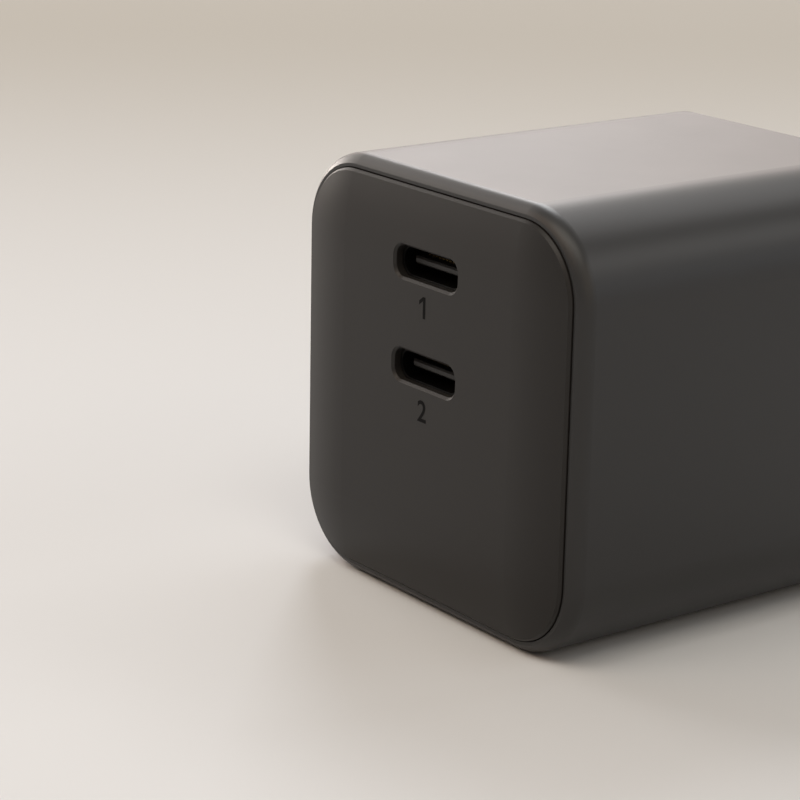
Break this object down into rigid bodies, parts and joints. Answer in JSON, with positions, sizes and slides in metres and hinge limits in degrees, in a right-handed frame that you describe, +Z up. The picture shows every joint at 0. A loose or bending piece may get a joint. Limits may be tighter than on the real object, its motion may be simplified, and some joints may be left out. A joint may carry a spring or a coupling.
{
  "type": "usb-c power adapter",
  "caption": "Square mains power adapter with rounded long edges, a pillowed front panel with stacked charging ports and a plug boss with round sleeved pins at the back.",
  "frame": {"origin": "middle of the flat underside, on the surface that the adapter lies on", "axes": "+Z up, -Y towards the ports, +Y along the plug pins, +X to the right for someone who faces the ports"},
  "size_m": [0.04, 0.079, 0.04],
  "materials": {
    "housing_plastic": "satin charcoal moulding",
    "panel_plastic": "satin charcoal moulding",
    "port_steel": "dark plated steel",
    "tongue_plastic": "black moulding",
    "contact_gold": "gold plated",
    "pin_metal": "nickel plated brass",
    "sleeve_plastic": "black moulding",
    "carrier_plastic": "black moulding",
    "circuit_board": "green solder mask",
    "moulded_part": "black epoxy",
    "can_sleeve": "shrunk sleeve",
    "can_metal": "drawn can",
    "film_case": "yellow case",
    "safety_case": "blue case",
    "ferrite": "sintered ferrite",
    "copper_wire": "enamelled copper",
    "winding_tape": "yellow tape over copper",
    "soft_pad": "soft grey pad",
    "spreader_metal": "plain sheet",
    "barrier_film": "thin film"
  },
  "bodies": {
    "root": {"housing": "housing_plastic", "front_panel": "panel_plastic", "port_1_shell": "port_steel", "port_2_shell": "port_steel", "port_1_tongue": "tongue_plastic", "port_2_tongue": "tongue_plastic", "plug_pin_left": "pin_metal", "plug_pin_right": "pin_metal", "pin_sleeve_left": "sleeve_plastic", "pin_sleeve_right": "sleeve_plastic", "port_1_contacts": "contact_gold", "port_2_contacts": "contact_gold", "pin_carrier": "carrier_plastic", "input_board": "circuit_board", "main_board": "circuit_board", "port_board": "circuit_board", "fuse": "moulded_part", "bulk_capacitor_1": "can_sleeve", "bulk_capacitor_2": "can_sleeve", "output_capacitor_1": "can_metal", "output_capacitor_2": "can_metal", "x_capacitor": "film_case", "y_capacitor": "safety_case", "choke_core": "ferrite", "choke_windings": "copper_wire", "transformer_core_lower": "ferrite", "transformer_core_upper": "ferrite", "transformer_bobbin": "carrier_plastic", "transformer_winding": "winding_tape", "bridge_rectifier": "moulded_part", "primary_switch": "moulded_part", "sync_rectifier": "moulded_part", "thermal_pad": "soft_pad", "heat_spreader": "spreader_metal", "optocoupler": "moulded_part", "barrier_sheet": "barrier_film", "inductor_1": "moulded_part", "inductor_2": "moulded_part", "charge_controller": "moulded_part"}
  },
  "joints": []
}
